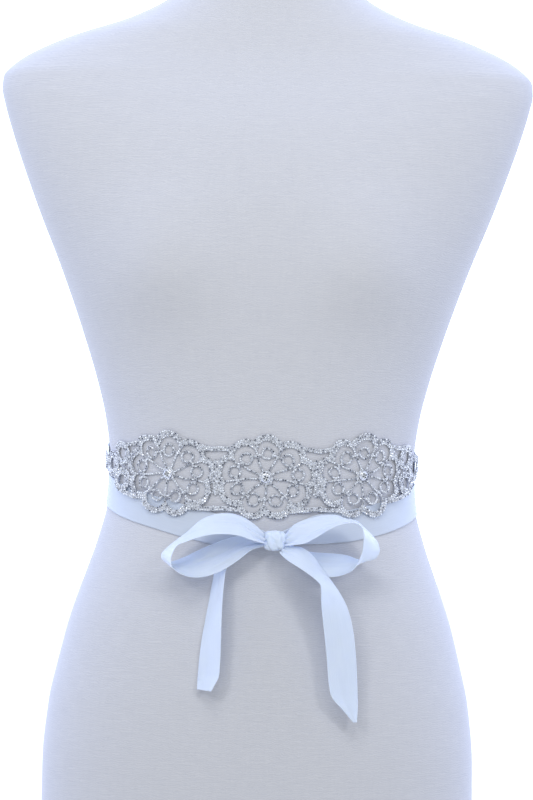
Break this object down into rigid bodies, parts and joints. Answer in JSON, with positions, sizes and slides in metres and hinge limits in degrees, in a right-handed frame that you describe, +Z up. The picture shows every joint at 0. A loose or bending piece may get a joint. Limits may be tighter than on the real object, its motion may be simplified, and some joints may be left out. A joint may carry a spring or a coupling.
{
  "type": "rhinestone belt on a dress form",
  "caption": "Bridal belt of silver rhinestone lace with a white satin ribbon tied in a front bow, worn by a limbless dress form in white jersey.",
  "frame": {"origin": "middle of the dress form's flat base, on the floor", "axes": "+Z up to the neck, -Y to the front where the bow is tied, +X to the picture's right"},
  "size_m": [0.4234, 0.2526, 0.742],
  "materials": {
    "jersey": "matte",
    "satin_ribbon": "satin",
    "rhinestone_lace": "polished",
    "cut_crystal": "polished"
  },
  "bodies": {
    "root": {"dress_form": "jersey", "rhinestone_applique": "rhinestone_lace", "crystal_left": "cut_crystal", "crystal_centre": "cut_crystal", "crystal_right": "cut_crystal", "ribbon_over": "satin_ribbon", "ribbon_under": "satin_ribbon", "bow_loop_left": "satin_ribbon", "bow_loop_right": "satin_ribbon", "bow_tail_left": "satin_ribbon", "bow_tail_right": "satin_ribbon", "bow_knot": "satin_ribbon"}
  },
  "joints": []
}
